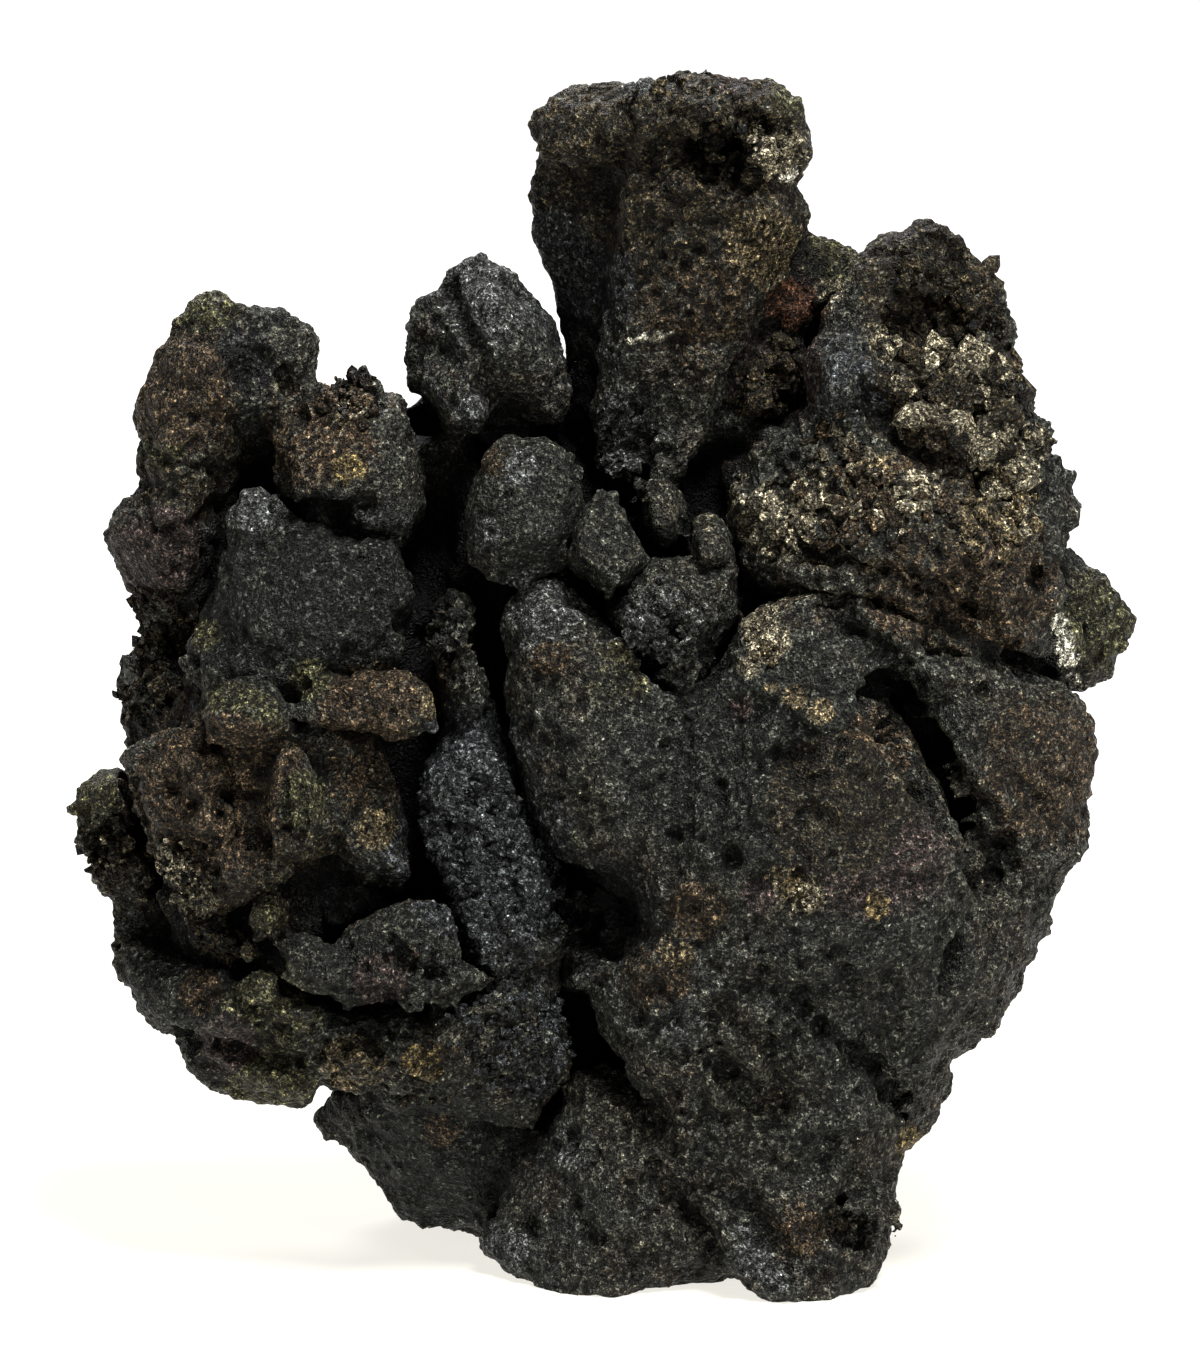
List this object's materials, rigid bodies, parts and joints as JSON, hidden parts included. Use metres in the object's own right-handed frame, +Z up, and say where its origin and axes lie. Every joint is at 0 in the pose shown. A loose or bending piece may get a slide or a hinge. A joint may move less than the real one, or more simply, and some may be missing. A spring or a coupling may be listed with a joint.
{
  "type": "native lead specimen",
  "caption": "Cluster of intergrown dark lead crystals with deep black crevices, pale crusts on one shoulder, standing on its own flat foot",
  "frame": {"origin": "centre of the bounding box in X and Y, on the plane the flat foot stands on", "axes": "+Z up, -Y towards the viewer of the side with the large main crystal, +X to that viewer's right"},
  "size_m": [0.0454, 0.024, 0.0505],
  "materials": {
    "tarnished_lead": "dull, dark grey-black tarnish with a fine grain"
  },
  "bodies": {
    "root": {"lead_cluster": "tarnished_lead"}
  },
  "joints": []
}
